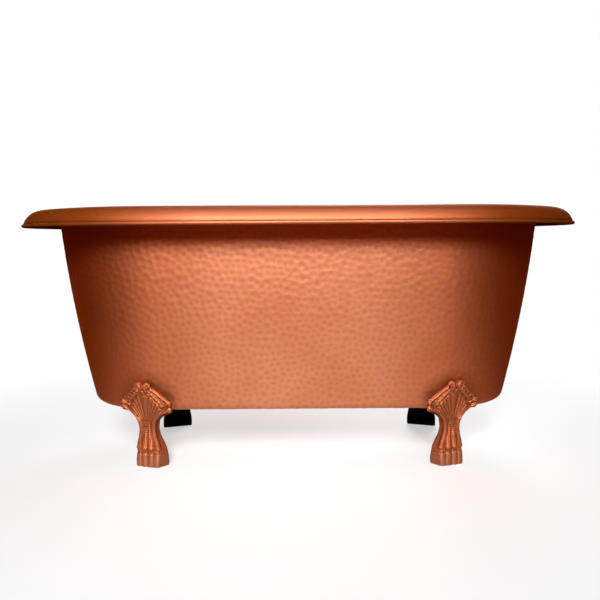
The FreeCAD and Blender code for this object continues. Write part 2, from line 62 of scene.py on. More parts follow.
# Walls: two sheets of copper, beaten cold until hammer marks cover the outside, about sixteen millimetres
# apart with soft ridges between them. The ridges are painted lighter and the dents darker, partly burnished
# and oxidised copper and partly painted highlight and shade. They are turned in at the foot and brazed to
# each other at the ends of the bath. Painted shade darkens them under the rim, round the feet and towards
# the ends.
SHEET = 0.002
BASE_RADIUS = 0.208
WALL_BOW = 0.008
BASE_CORNER = 0.020
TURNED_EDGE = 0.012
RIM_SEAM = 0.610
MARK_SPACING = 0.0138
MARK_DEPTH = 0.0006
RIDGE_WIDTH = 0.0062
MARK_REACH = 0.0102
STROKE_FORCE = (0.75, 1.15)
WALL_GRAIN = 0.0036
WALL_FACES_KEPT = 0.73
INNER_FACE = -0.05
SMOOTH_ANGLE = math.radians(40)
HAMMER_SEED = 7
HALF_STRAIGHT = (cad_box[1][0] - cad_box[0][0] - cad_box[1][1] + cad_box[0][1]) / 2
BASE_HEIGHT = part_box("wall_front")[0][2]
SEAM_RADIUS = -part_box("wall_front")[0][1]
QUARTER = math.pi / 2
hammer_stroke = random.Random(HAMMER_SEED)


def on_circle(centre, radius, angle):
    """A point of the bath's section, on a circle about a centre."""
    return centre + Vector((math.cos(angle), math.sin(angle))) * radius


def arc(centre, radius, start, end, grain):
    """Points along an arc of the section, about one grain apart."""
    steps = max(2, round(abs(end - start) * radius / grain))
    return [on_circle(centre, radius, start + (end - start) * step / steps) for step in range(steps + 1)]


def heading(centre, point):
    """The angle at which a point of the section lies from a centre."""
    return math.atan2(point.y - centre.y, point.x - centre.x)


def take_up(piece):
    """Selects one piece alone and makes it the one that is worked on."""
    bpy.ops.object.select_all(action="DESELECT")
    piece.select_set(True)
    bpy.context.view_layer.objects.active = piece


def work(piece, name, kind, **settings):
    """Adds a modifier to the piece in hand, with its settings, and applies it."""
    step = piece.modifiers.new(name, kind)
    for setting, value in settings.items():
        setattr(step, setting, value)
    bpy.ops.object.modifier_apply(modifier=step.name)


def close_seams(reach):
    """Merges the doubled points of the piece in hand and turns its faces outwards."""
    bpy.ops.object.mode_set(mode="EDIT")
    bpy.ops.mesh.select_all(action="SELECT")
    bpy.ops.mesh.remove_doubles(threshold=reach)
    bpy.ops.mesh.normals_make_consistent(inside=False)
    bpy.ops.object.mode_set(mode="OBJECT")


def carry_round_front(name, section, bend_steps, side_steps):
    """Sweeps a section from the right end of the bath round to its middle and mirrors it to the left."""
    bpy.ops.object.select_all(action="DESELECT")
    bpy.ops.mesh.primitive_plane_add(size=SHEET)
    piece = bpy.context.object
    piece.name = name
    bpy.ops.object.mode_set(mode="EDIT")
    bpy.ops.mesh.merge(type="CENTER")
    bpy.ops.transform.translate(value=(HALF_STRAIGHT + section[0].x, 0, section[0].y))
    for before, after in zip(section, section[1:]):
        step = (after.x - before.x, 0, after.y - before.y)
        bpy.ops.mesh.extrude_vertices_move(TRANSFORM_OT_translate={"value": step})
    bpy.ops.mesh.select_all(action="SELECT")
    bpy.ops.mesh.spin(steps=bend_steps, angle=QUARTER, center=(HALF_STRAIGHT, 0, 0), axis=(0, 0, 1))
    for step in range(side_steps):
        way = (-HALF_STRAIGHT / side_steps, 0, 0)
        bpy.ops.mesh.extrude_region_move(TRANSFORM_OT_translate={"value": way})
    bpy.ops.object.mode_set(mode="OBJECT")
    work(piece, "other_half", "MIRROR", merge_threshold=SHEET / 10)
    close_seams(SHEET / 100)
    return piece


def rear_copy(piece, name):
    """The same piece on the far side of the bath, with a mesh of its own."""
    take_up(piece)
    bpy.ops.object.duplicate()
    other = bpy.context.object
    other.name = name
    other.rotation_euler = (0, 0, 2 * QUARTER)
    bpy.ops.object.transform_apply(location=False, rotation=True, scale=False)
    return other


def points_of(mesh):
    """The places and normals of a mesh's points, as two arrays."""
    places = numpy.empty(3 * len(mesh.vertices))
    mesh.vertices.foreach_get("co", places)
    normals = numpy.empty(3 * len(mesh.vertices))
    mesh.vertex_normals.foreach_get("vector", normals)
    return places.reshape(-1, 3), normals.reshape(-1, 3)


def keep_value(mesh, name, values):
    """Keeps a value at each point of a mesh, for its material to read."""
    mesh.attributes.new(name, "FLOAT", "POINT").data.foreach_set("value", values)


def soften(mesh, values, rounds):
    """Evens out a value over a mesh by averaging it with its neighbours."""
    ends = numpy.empty(2 * len(mesh.edges), dtype=int)
    mesh.edges.foreach_get("vertices", ends)
    first, second = ends.reshape(-1, 2).T
    count = numpy.bincount(ends, minlength=len(values))
    for turn in range(rounds):
        around = numpy.bincount(first, values[second], len(values))
        around += numpy.bincount(second, values[first], len(values))
        values = (values + around / count) / 2
    return values


def place_marks(places):
    """Picks where the hammer falls: points of the sheet no closer together than the spacing."""
    order = list(range(len(places)))
    hammer_stroke.shuffle(order)
    taken = {}
    marks = []
    for index in order:
        place = places[index]
        cell = tuple(int(math.floor(value / MARK_SPACING)) for value in place)
        near = [
            mark
            for x in (-1, 0, 1)
            for y in (-1, 0, 1)
            for z in (-1, 0, 1)
            for mark in taken.get((cell[0] + x, cell[1] + y, cell[2] + z), ())
        ]
        if all(numpy.linalg.norm(place - mark) > MARK_SPACING for mark in near):
            for mark in (place, place * (-1, -1, 1)):
                home = tuple(int(math.floor(value / MARK_SPACING)) for value in mark)
                taken.setdefault(home, []).append(mark)
                marks.append(mark)
    return marks


def hammer(piece, inward, edge_fade):
    """Beats a sheet: each point sinks by its distance from the nearest mark. Keeps depth and ridges."""
    places, normals = points_of(piece.data)
    marks = place_marks(places)
    tree = kdtree.KDTree(len(marks))
    for index, mark in enumerate(marks):
        tree.insert(mark, index)
    tree.balance()
    force = [hammer_stroke.uniform(*STROKE_FORCE) for mark in marks]
    sunk = numpy.empty(len(places))
    between = numpy.empty(len(places))
    for index, place in enumerate(places):
        near, next_near = tree.find_n(place, 2)
        sunk[index] = max(0.0, 1 - (near[2] / MARK_REACH) ** 2) * force[near[1]]
        between[index] = max(0.0, 1 - (next_near[2] - near[2]) / RIDGE_WIDTH)
    fade = edge_fade(places)
    sunk = sunk * fade
    moved = places + normals * (sunk * MARK_DEPTH * inward)[:, None]
    piece.data.vertices.foreach_set("co", moved.ravel())
    keep_value(piece.data, "strike", sunk)
    keep_value(piece.data, "ridge", soften(piece.data, between, 1) * fade)
    piece.data.update()


def thicken(piece):
    """Gives a sheet its thickness, half to each side, and smooth faces."""
    take_up(piece)
    work(piece, "sheet", "SOLIDIFY", thickness=SHEET, offset=0)
    bpy.ops.object.shade_smooth_by_angle(angle=SMOOTH_ANGLE)


class Shade:
    """A socket of a material's nodes. Sums and products of shades add Math nodes."""

    def __init__(self, tree, socket=None):
        self.tree = tree
        self.socket = socket

    def node(self, kind, settings=None, inputs=None, output=0):
        """Adds a node, with its settings first and then the values or links of its sockets."""
        made = self.tree.nodes.new(kind)
        for name, value in (settings or {}).items():
            setattr(made, name, value)
        for name, value in (inputs or {}).items():
            if isinstance(value, Shade):
                self.tree.links.new(value.socket, made.inputs[name])
            else:
                made.inputs[name].default_value = value
        return Shade(self.tree, made.outputs[output])

    def math(self, operation, *values):
        """A Math node on one, two or three values."""
        return self.node("ShaderNodeMath", {"operation": operation}, dict(enumerate(values)))

    def __add__(self, other):
        return self.math("ADD", self, other)

    def __radd__(self, other):
        return self.math("ADD", other, self)

    def __sub__(self, other):
        return self.math("SUBTRACT", self, other)

    def __rsub__(self, other):
        return self.math("SUBTRACT", other, self)

    def __mul__(self, other):
        return self.math("MULTIPLY", self, other)

    def __rmul__(self, other):
        return self.math("MULTIPLY", other, self)

    def clamped(self):
        """The same value, held between zero and one."""
        return self.node("ShaderNodeClamp", None, {"Value": self})

    def mix(self, first, second):
        """A colour between two, by this value."""
        return self.node("ShaderNodeMix", {"data_type": "RGBA"}, {0: self, 6: first, 7: second}, 2)


def finish(name):
    """A new material, its surface shader, a shade to start its nodes from, and the place on the piece."""
    material = bpy.data.materials.new(name)
    material.use_nodes = True
    surface = material.node_tree.nodes["Principled BSDF"]
    start = Shade(material.node_tree)
    return material, surface, start, start.node("ShaderNodeTexCoord", output="Object")


def feed(surface, shades):
    """Links shades to the sockets of a surface shader."""
    for name, shade in shades.items():
        shade.tree.links.new(shade.socket, surface.inputs[name])


def texture(start, scale, detail, place):
    """Cloudy variation, centred on one half."""
    inputs = {"Vector": place, "Scale": scale, "Detail": detail}
    return start.node("ShaderNodeTexNoise", None, inputs)


def kept_value(start, name):
    """A value that the points of the mesh keep."""
    return start.node("ShaderNodeAttribute", {"attribute_name": name}, output="Fac")


def part_of(start, place, axis):
    """One coordinate of a place."""
    return start.node("ShaderNodeSeparateXYZ", None, {"Vector": place}, axis)


def vector_step(start, operation, first, second=None, output=0):
    """A Vector Math node on one or two vectors."""
    inputs = {0: first} if second is None else {0: first, 1: second}
    return start.node("ShaderNodeVectorMath", {"operation": operation}, inputs, output)


def uneven(start, strength, depth, height):
    """A normal that follows a fine unevenness of the surface."""
    inputs = {"Strength": strength, "Distance": depth, "Height": height}
    return start.node("ShaderNodeBump", None, inputs, "Normal")


# Ridges and dents: partly burnished and oxidised copper, partly a painted highlight on the ridges and
# painted shade in the dents.
RIDGE_BURNISH_AND_HIGHLIGHT = (0.905, 0.345, 0.188, 1)
DENT_OXIDE_AND_SHADE = (0.80, 0.258, 0.113, 1)
AGED_COPPER = (0.60, 0.17, 0.07, 1)
# Painted shade: a darker brown on the wall round each foot, where the foot shades it.
FOOT_SHADOW_BROWN = (0.34, 0.082, 0.02, 1)
# Painted shadow of the rim: a darker, redder band on the outside of the wall under the rim.
RIM_SHADOW_TINT = (0.88, 0.13, 0.012, 1)
RIM_SHADOW_HEIGHT = 0.545
RIM_SHADOW_GAIN = 30.0
RIM_SHADOW_SHARE = 0.75
# Painted shade: the wall darker towards the ends of the bath, where it turns away from the light.
END_SHADE = (0.56, 0.10, 0.012, 1)
END_START = 0.19
END_GAIN = 2.7
FAN_MIDDLE = (0.390, 0.229, 0.160)
FOOT_SHADOW_REACH = 0.092
FOOT_SHADOW_GAIN = 24.0
FOOT_SHADOW_SHARE = 0.75
WALL_ROUGHNESS = 0.45

hammered_copper, surface, start, place = finish("hammered_copper")
strike = kept_value(start, "strike")
ridge = kept_value(start, "ridge")
outer = kept_value(start, "outer")
clouds = texture(start, 5.0, 3.0, place)
grit = texture(start, 420.0, 4.0, place)
# Painted highlight and shade: lighter on the ridges and darker in the dents, together with burnish and
# oxide.
colour = (strike * 0.5 - ridge * 1.1 + grit * 0.3 + 0.20).clamped().mix(RIDGE_BURNISH_AND_HIGHLIGHT, DENT_OXIDE_AND_SHADE)
colour = ((clouds - 0.45) * 1.6).clamped().mix(colour, AGED_COPPER)
each_corner = vector_step(start, "ABSOLUTE", place)
from_foot = vector_step(start, "DISTANCE", each_corner, FAN_MIDDLE, "Value")
from_middle = part_of(start, each_corner, "X")
height = part_of(start, place, "Z")
# The rim's painted shadow on the outside of the wall.
rim_shadow = ((height - RIM_SHADOW_HEIGHT) * RIM_SHADOW_GAIN + clouds * 0.3 - 0.15).clamped()
colour = (rim_shadow * outer * RIM_SHADOW_SHARE).mix(colour, RIM_SHADOW_TINT)
# Painted shade towards the ends of the bath.
colour = (((from_middle - END_START) * END_GAIN).clamped() * outer).mix(colour, END_SHADE)
# Painted shade round the feet.
foot_shadow = ((FOOT_SHADOW_REACH - from_foot) * FOOT_SHADOW_GAIN + clouds * 0.3 - 0.15).clamped()
colour = (foot_shadow * outer * FOOT_SHADOW_SHARE).mix(colour, FOOT_SHADOW_BROWN)
surface.inputs["Metallic"].default_value = 1.0
bump = uneven(start, 0.12, 0.0004, grit)
roughness = WALL_ROUGHNESS + strike * 0.04 + clouds * 0.08
feed(surface, {"Base Color": colour, "Roughness": roughness, "Normal": bump})

base_point = Vector((BASE_RADIUS, BASE_HEIGHT))
seam_point = Vector((SEAM_RADIUS, RIM_SEAM))
chord = seam_point - base_point
bow_radius = ((chord.length / 2) ** 2 + WALL_BOW**2) / (2 * WALL_BOW)
across_chord = Vector((-chord.y, chord.x)).normalized()
bow_centre = (base_point + seam_point) / 2 + across_chord * (bow_radius - WALL_BOW)
seam_angle = heading(bow_centre, seam_point)
corner_height = BASE_HEIGHT + BASE_CORNER
corner_offset = math.sqrt((bow_radius - BASE_CORNER) ** 2 - (corner_height - bow_centre.y) ** 2)
corner_centre = Vector((bow_centre.x + corner_offset, corner_height))
corner_angle = heading(bow_centre, corner_centre)
pan_radius = corner_centre.x - TURNED_EDGE

middle = SHEET / 2
wall_section = [Vector((pan_radius, BASE_HEIGHT + middle))]
wall_section += arc(corner_centre, BASE_CORNER - middle, -QUARTER, corner_angle, WALL_GRAIN)
wall_section += arc(bow_centre, bow_radius - middle, corner_angle, seam_angle, WALL_GRAIN)[1:]
bend_steps = round(QUARTER * SEAM_RADIUS / WALL_GRAIN)
side_steps = round(HALF_STRAIGHT / WALL_GRAIN)


def rise(value, reach):
    """Climbs from nothing to one while a value goes from nothing to its reach."""
    return numpy.clip(value / reach, 0, 1)


def wall_fade(places):
    """The marks die out towards the rim's seam and the turned edge at the foot."""
    plan = numpy.maximum(numpy.abs(places[:, 0]) - HALF_STRAIGHT, 0)
    radius = numpy.hypot(plan, places[:, 1])
    return rise(RIM_SEAM - places[:, 2], MARK_REACH) * rise(radius - pan_radius, MARK_REACH)


wall_front = carry_round_front("wall_sheet_front", wall_section, bend_steps, side_steps)
hammer(wall_front, -1, wall_fade)
thicken(wall_front)
places, normals = points_of(wall_front.data)
plan = numpy.maximum(numpy.abs(places[:, 0]) - HALF_STRAIGHT, 0) * numpy.sign(places[:, 0])
outwards = normals[:, 0] * plan + normals[:, 1] * places[:, 1]
keep_value(wall_front.data, "outer", numpy.where(outwards < INNER_FACE, 0.0, 1.0))
inside = wall_front.vertex_groups.new(name="inside")
inside.add([int(index) for index in numpy.flatnonzero(outwards < INNER_FACE)], 1.0, "REPLACE")
work(wall_front, "plainer_inside", "DECIMATE", ratio=WALL_FACES_KEPT, vertex_group=inside.name)
bpy.ops.object.shade_smooth_by_angle(angle=SMOOTH_ANGLE)
wall_front.data.materials.append(hammered_copper)
wall_rear = rear_copy(wall_front, "wall_sheet_rear")
for wall, node in ((wall_front, "wall_front"), (wall_rear, "wall_rear")):
    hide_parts(node)
    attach(wall, "tub")

# Rim: a separate sheet, rolled over outwards by hand until it is smooth and brazed to the top of the walls.
# Its lower edge is wrapped round a steel wire, which shows as a bead under a sharp crease painted dark, a
# painted shade.
# The copper is rubbed along the sides, and is rougher and painted darker towards the ends, a painted shade.
RIM_BEND = 0.022
ROLL_RADIUS = 0.047
ROLL_DROP = 0.002
ROLL_END = math.radians(13)
WIRE_HOLE = 0.0026
RIM_GRAIN = 0.0022
RIM_BEND_STEPS = 72
RIM_SIDE_STEPS = 36
RIM_WAVE = 0.0004
WAVES_PER_METRE = 7
CREASE_REACH = 0.003
CREASE_FILL = 1.3
CREASE_SHADE_SHARE = 0.85
rim_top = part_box("rim_front")[1][2]
rim_reach = -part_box("rim_front")[0][1]

wall_top = on_circle(bow_centre, bow_radius - SHEET, seam_angle)
bend_side = on_circle(Vector((0, 0)), RIM_BEND, seam_angle)
climb = on_circle(Vector((0, 0)), 1.0, seam_angle + QUARTER)
bend_centre = wall_top + climb * ((rim_top - RIM_BEND - wall_top.y - bend_side.y) / climb.y) + bend_side
bead_radius = WIRE_HOLE + SHEET
roll_to_bead = on_circle(Vector((0, 0)), ROLL_RADIUS - middle, ROLL_END)
roll_to_bead = on_circle(roll_to_bead, WIRE_HOLE + middle, ROLL_END - QUARTER)
roll_centre = Vector((rim_reach - bead_radius - roll_to_bead.x, rim_top - ROLL_DROP - ROLL_RADIUS))
bead_centre = roll_centre + roll_to_bead
between = roll_centre - bend_centre
deck_angle = heading(bend_centre, roll_centre) + math.acos((RIM_BEND - ROLL_RADIUS) / between.length)


def crease_angle(radius):
    """Where a face of the roll meets the bead, as an angle about the roll's centre."""
    span = roll_to_bead.length
    cosine = (radius**2 + span**2 - bead_radius**2) / (2 * radius * span)
    return heading(roll_centre, bead_centre) + math.acos(cosine)


dry_roll = ROLL_RADIUS - SHEET
outer_crease = crease_angle(ROLL_RADIUS)
inner_crease = crease_angle(dry_roll)
bead_start = heading(bead_centre, on_circle(roll_centre, ROLL_RADIUS, outer_crease))
bead_end = heading(bead_centre, on_circle(roll_centre, dry_roll, inner_crease)) - 4 * QUARTER
rim_section = [wall_top]
rim_section += arc(bend_centre, RIM_BEND, seam_angle + 2 * QUARTER, deck_angle, RIM_GRAIN)
rim_section += arc(roll_centre, ROLL_RADIUS, deck_angle, outer_crease, RIM_GRAIN)
rim_section += arc(bead_centre, bead_radius, bead_start, bead_end, RIM_GRAIN / 2)[1:]
rim_section += arc(roll_centre, dry_roll, inner_crease, deck_angle, 2 * RIM_GRAIN)[1:]
rim_section += arc(bend_centre, RIM_BEND - SHEET, deck_angle, seam_angle + 2 * QUARTER, 2 * RIM_GRAIN)
rim_section += [seam_point, wall_top]
rim_front = carry_round_front("rim_roll_front", rim_section, RIM_BEND_STEPS, RIM_SIDE_STEPS)
for point in rim_front.data.vertices:
    plan = max(abs(point.co.x) - HALF_STRAIGHT, 0)
    outwards = Vector((math.copysign(plan, point.co.x), point.co.y, 0)).normalized()
    above_seam = max(0, (point.co.z - RIM_SEAM) / BASE_CORNER)
    past_seam = max(0, -point.co.y - SEAM_RADIUS) / BASE_CORNER
    from_joint = min(1, abs(point.co.y) / BASE_CORNER)
    wave = (noise.noise(point.co * WAVES_PER_METRE) - 1) * RIM_WAVE
    point.co += outwards * wave * min(1, above_seam + past_seam) * from_joint
bpy.ops.object.shade_smooth_by_angle(angle=SMOOTH_ANGLE)

places = points_of(rim_front.data)[0]
crease = on_circle(roll_centre, ROLL_RADIUS, outer_crease)
plan = numpy.maximum(numpy.abs(places[:, 0]) - HALF_STRAIGHT, 0)
from_crease = numpy.hypot(numpy.hypot(plan, places[:, 1]) - crease.x, places[:, 2] - crease.y)
# Painted shade in the crease between the roll and the bead.
keep_value(rim_front.data, "crease_shade", numpy.clip(CREASE_FILL - from_crease / CREASE_REACH, 0, 1))

POLISHED_COPPER = (0.46, 0.142, 0.066, 1)
RUBBED_COPPER = (0.53, 0.18, 0.090, 1)
BROWNED_COPPER = (0.38, 0.10, 0.036, 1)
# Painted shade: the rim darker towards its ends, where it turns away from the light.
RIM_END_SHADE = (0.31, 0.068, 0.009, 1)
CREASE_SHADE = (0.12, 0.030, 0.008, 1)
RIM_END_START = 0.23
RIM_END_GAIN = 4.0
RIM_ROUGHNESS = 0.56
STREAK_SCALE = (4.0, 4.0, 900.0)
rolled_copper, surface, start, place = finish("rolled_copper")
clouds = texture(start, 6.0, 4.0, place)
along_rim = vector_step(start, "MULTIPLY", place, STREAK_SCALE)
streaks = texture(start, 1.0, 3.0, along_rim)
colour = ((clouds - 0.4) * 2.0).clamped().mix(POLISHED_COPPER, RUBBED_COPPER)
colour = ((streaks - 0.5) * 0.9).clamped().mix(colour, BROWNED_COPPER)
each_end = vector_step(start, "ABSOLUTE", place)
from_middle = part_of(start, each_end, "X")
# Towards the ends the rim is rougher and painted darker, a painted shade.
end_shade_and_roughness = ((from_middle - RIM_END_START) * RIM_END_GAIN).clamped()
colour = end_shade_and_roughness.mix(colour, RIM_END_SHADE)
# Painted shade in the crease over the bead.
crease_shade = kept_value(start, "crease_shade")
colour = (crease_shade * CREASE_SHADE_SHARE).mix(colour, CREASE_SHADE)
surface.inputs["Metallic"].default_value = 1.0
bump = uneven(start, 0.06, 0.0003, streaks)
roughness = RIM_ROUGHNESS + streaks * 0.12 + clouds * 0.06 + end_shade_and_roughness * 0.16
feed(surface, {"Base Color": colour, "Roughness": roughness, "Normal": bump})
rim_front.data.materials.append(rolled_copper)
rim_rear = rear_copy(rim_front, "rim_roll_rear")
for rim, node in ((rim_front, "rim_front"), (rim_rear, "rim_rear")):
    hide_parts(node)
    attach(rim, "tub")

# Floor: one sheet of copper, dished towards the waste and hammered like the walls.
# Its edge is brazed to their turned foot, and the seat round the waste is pressed flat.
FLAT_BAND = 0.070
SEAT_RADIUS = 0.046
PAN_HOLE = 0.0242
PAN_GRAIN = 0.005
SEAT_RINGS = 5
pan_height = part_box("floor_pan")[1][2] - middle
seat_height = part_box("floor_pan")[0][2] + middle
dish_radius = pan_radius - FLAT_BAND
end_steps = round(2 * QUARTER * dish_radius / PAN_GRAIN)
straight_steps = round(2 * HALF_STRAIGHT / PAN_GRAIN)
spokes = []
for end in (1, -1):
    for step in range(end_steps):
        spokes.append((end * HALF_STRAIGHT, QUARTER * (2 * step / end_steps - end)))
    for step in range(straight_steps):
        spokes.append((end * HALF_STRAIGHT * (1 - 2 * step / straight_steps), QUARTER * (2 - end)))
dish_reach = HALF_STRAIGHT + dish_radius - SEAT_RADIUS
rings = [("seat", radius) for radius in numpy.linspace(PAN_HOLE, SEAT_RADIUS, SEAT_RINGS)]
rings += [("dish", share) for share in numpy.linspace(0, 1, round(dish_reach / PAN_GRAIN))[1:]]
band_steps = round(FLAT_BAND / PAN_GRAIN)
rings += [("flat", radius) for radius in numpy.linspace(dish_radius, pan_radius, band_steps)[1:]]


def pan_point(spoke, ring):
    """A point of the floor: on the round seat, on the dish between it and the oval, or on the flat band."""
    along, angle = spoke
    zone, measure = ring
    radius = measure if zone == "flat" else dish_radius
    oval = Vector((along + radius * math.cos(angle), radius * math.sin(angle), pan_height))
    if zone == "flat":
        return oval
    way = Vector((oval.x, oval.y, 0)).normalized()
    if zone == "seat":
        return way * measure + Vector((0, 0, seat_height))
    return (way * SEAT_RADIUS + Vector((0, 0, seat_height))).lerp(oval, measure)


def pan_fade(places):
    """The marks die out towards the waste's seat and the brazed edge."""
    plan = numpy.maximum(numpy.abs(places[:, 0]) - HALF_STRAIGHT, 0)
    edge = pan_radius - numpy.hypot(plan, places[:, 1])
    seat = numpy.hypot(places[:, 0], places[:, 1]) - SEAT_RADIUS
    return rise(edge, MARK_REACH) * rise(seat, MARK_REACH)


bpy.ops.object.select_all(action="DESELECT")
bpy.ops.mesh.primitive_grid_add(x_subdivisions=len(spokes), y_subdivisions=len(rings) - 1, size=1.0)
pan = bpy.context.object
pan.name = "floor_sheet"
for point in pan.data.vertices:
    spoke = spokes[round((point.co.x + 0.5) * len(spokes)) % len(spokes)]
    point.co = pan_point(spoke, rings[round((point.co.y + 0.5) * (len(rings) - 1))])
close_seams(SHEET / 100)
upright = math.copysign(1, pan.data.polygons[0].normal.z)
hammer(pan, -upright, pan_fade)
thicken(pan)
pan.data.materials.append(hammered_copper)
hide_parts("floor_pan")
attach(pan, "tub")

# Waste: turned from copper alloy. Its flange is bedded on the seat and its tail is threaded for the locknut
# and the trap. A cross inside the bore carries the post that the stopper slides on.
FLANGE_RADIUS = 0.036
BORE_RADIUS = 0.020
THREAD_RADIUS = 0.0239
RELIEF_RADIUS = 0.0229
FLANGE_EDGE = 0.0012
SEAT_CHAMFER = 0.004
FLANGE_THICKNESS = 0.0035
THREAD_PITCH = 0.0023
THREAD_DEPTH = 0.0011
TAIL_LENGTH = 0.018
RELIEF_LENGTH = 0.011
CROSS_ARM = 0.004
CROSS_HEIGHT = 0.006
CROSS_DEPTH = 0.016
HUB_RADIUS = 0.006
POST_HOLE = 0.00305
LATHE_STEPS = 96
RINGS_PER_TURN = 8
BREAK_ANGLE = math.radians(35)
TURNED_ANGLE = math.radians(30)
BODY_BREAK = 0.0004
HUB_BREAK = 0.0005
ARM_BREAK = 0.0006


def turn_on_lathe(name, profile):
    """Turns a piece: carries a closed profile of radius and height once round the waste's axis."""
    bpy.ops.object.select_all(action="DESELECT")
    bpy.ops.mesh.primitive_plane_add(size=SHEET)
    piece = bpy.context.object
    piece.name = name
    bpy.ops.object.mode_set(mode="EDIT")
    bpy.ops.mesh.merge(type="CENTER")
    bpy.ops.transform.translate(value=(profile[0][0], 0, profile[0][1]))
    for before, after in zip(profile, profile[1:] + profile[:1]):
        step = (after[0] - before[0], 0, after[1] - before[1])
        bpy.ops.mesh.extrude_vertices_move(TRANSFORM_OT_translate={"value": step})
    bpy.ops.mesh.select_all(action="SELECT")
    bpy.ops.mesh.remove_doubles(threshold=SHEET / 1000)
    bpy.ops.mesh.spin(steps=LATHE_STEPS, angle=4 * QUARTER, center=(0, 0, 0), axis=(0, 0, 1))
    bpy.ops.mesh.select_all(action="SELECT")
    bpy.ops.mesh.remove_doubles(threshold=SHEET / 1000)
    bpy.ops.mesh.normals_make_consistent(inside=False)
    bpy.ops.object.mode_set(mode="OBJECT")
    return piece


def break_edges(piece, width):
    """Rounds the sharp edges of a turned or cut piece and shades it smooth."""
    take_up(piece)
    limits = {"limit_method": "ANGLE", "angle_limit": BREAK_ANGLE}
    work(piece, "broken_edges", "BEVEL", width=width, segments=3, **limits)
    bpy.ops.object.shade_smooth_by_angle(angle=TURNED_ANGLE)


waste_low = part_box("waste_body")[0][2]
flange_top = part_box("waste_body")[1][2]
flange_low = flange_top - FLANGE_THICKNESS
trap_top = waste_low + TAIL_LENGTH
relief_top = trap_top + RELIEF_LENGTH
thread_rings = round(TAIL_LENGTH / THREAD_PITCH * RINGS_PER_TURN)
waste_profile = [(BORE_RADIUS, waste_low)]
for ring in range(thread_rings + 1):
    waste_profile.append((THREAD_RADIUS, waste_low + TAIL_LENGTH * ring / thread_rings))
waste_profile += [
    (RELIEF_RADIUS, trap_top),
    (RELIEF_RADIUS, relief_top),
    (THREAD_RADIUS, relief_top),
    (THREAD_RADIUS, flange_low),
    (FLANGE_RADIUS, flange_low),
    (FLANGE_RADIUS, flange_low + FLANGE_EDGE),
    (FLANGE_RADIUS - FLANGE_THICKNESS / 2, flange_top),
    (BORE_RADIUS + SEAT_CHAMFER, flange_top),
    (BORE_RADIUS, flange_top - SEAT_CHAMFER),
]
waste = turn_on_lathe("waste_fitting", waste_profile)
for point in waste.data.vertices:
    radius = math.hypot(point.co.x, point.co.y)
    if abs(radius - THREAD_RADIUS) < THREAD_DEPTH / 10 and point.co.z < trap_top + THREAD_DEPTH / 10:
        turn = math.atan2(point.co.y, point.co.x) / (4 * QUARTER) + (point.co.z - waste_low) / THREAD_PITCH
        cut = abs(2 * (turn % 1) - 1) * THREAD_DEPTH
        point.co.xy *= (radius - cut) / radius
break_edges(waste, BODY_BREAK)
cross_top = flange_top - CROSS_DEPTH
hub_profile = [
    (POST_HOLE, cross_top - CROSS_HEIGHT),
    (HUB_RADIUS, cross_top - CROSS_HEIGHT),
    (HUB_RADIUS, cross_top),
    (POST_HOLE, cross_top),
]
hub = turn_on_lathe("cross_hub", hub_profile)
break_edges(hub, HUB_BREAK)
arm_length = (RELIEF_RADIUS + BORE_RADIUS) / 2 - (HUB_RADIUS + POST_HOLE) / 2
arm_middle = (RELIEF_RADIUS + BORE_RADIUS + HUB_RADIUS + POST_HOLE) / 4
cross = [hub]
for quarter in range(4):
    way = (math.cos(quarter * QUARTER), math.sin(quarter * QUARTER))
    size = (arm_length, CROSS_ARM) if quarter % 2 == 0 else (CROSS_ARM, arm_length)
    bpy.ops.mesh.primitive_cube_add(
        size=1.0,
        location=(arm_middle * way[0], arm_middle * way[1], cross_top - CROSS_HEIGHT / 2),
        scale=(*size, CROSS_HEIGHT),
    )
    arm = bpy.context.object
    bpy.ops.object.transform_apply(location=True, rotation=True, scale=True)
    break_edges(arm, ARM_BREAK)
    cross.append(arm)
bpy.ops.object.select_all(action="DESELECT")
for piece in cross + [waste]:
    piece.select_set(True)
bpy.context.view_layer.objects.active = waste
bpy.ops.object.join()

TURNED_COPPER = (0.86, 0.36, 0.20, 1)
DULL_COPPER = (0.62, 0.22, 0.10, 1)
WASTE_ROUGHNESS = 0.24
TOOL_MARKS = 2600.0
TOOL_DRIFT = 90.0
waste_copper, surface, start, place = finish("waste_copper")
flat_place = vector_step(start, "MULTIPLY", place, (1.0, 1.0, 0.0))
from_axis = vector_step(start, "LENGTH", flat_place, output="Value")
tool_place = {"X": from_axis * TOOL_MARKS, "Y": from_axis * TOOL_DRIFT}
tool_path = start.node("ShaderNodeCombineXYZ", None, tool_place)
turning = texture(start, 1.0, 2.0, tool_path)
clouds = texture(start, 60.0, 4.0, place)
colour = ((clouds - 0.42) * 2.2).clamped().mix(TURNED_COPPER, DULL_COPPER)
surface.inputs["Metallic"].default_value = 1.0
bump = uneven(start, 0.15, 0.0002, turning)
roughness = WASTE_ROUGHNESS + turning * 0.10 + clouds * 0.10
feed(surface, {"Base Color": colour, "Roughness": roughness, "Normal": bump})
waste.data.materials.clear()
waste.data.materials.append(waste_copper)
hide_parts("waste_body")
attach(waste, "tub")

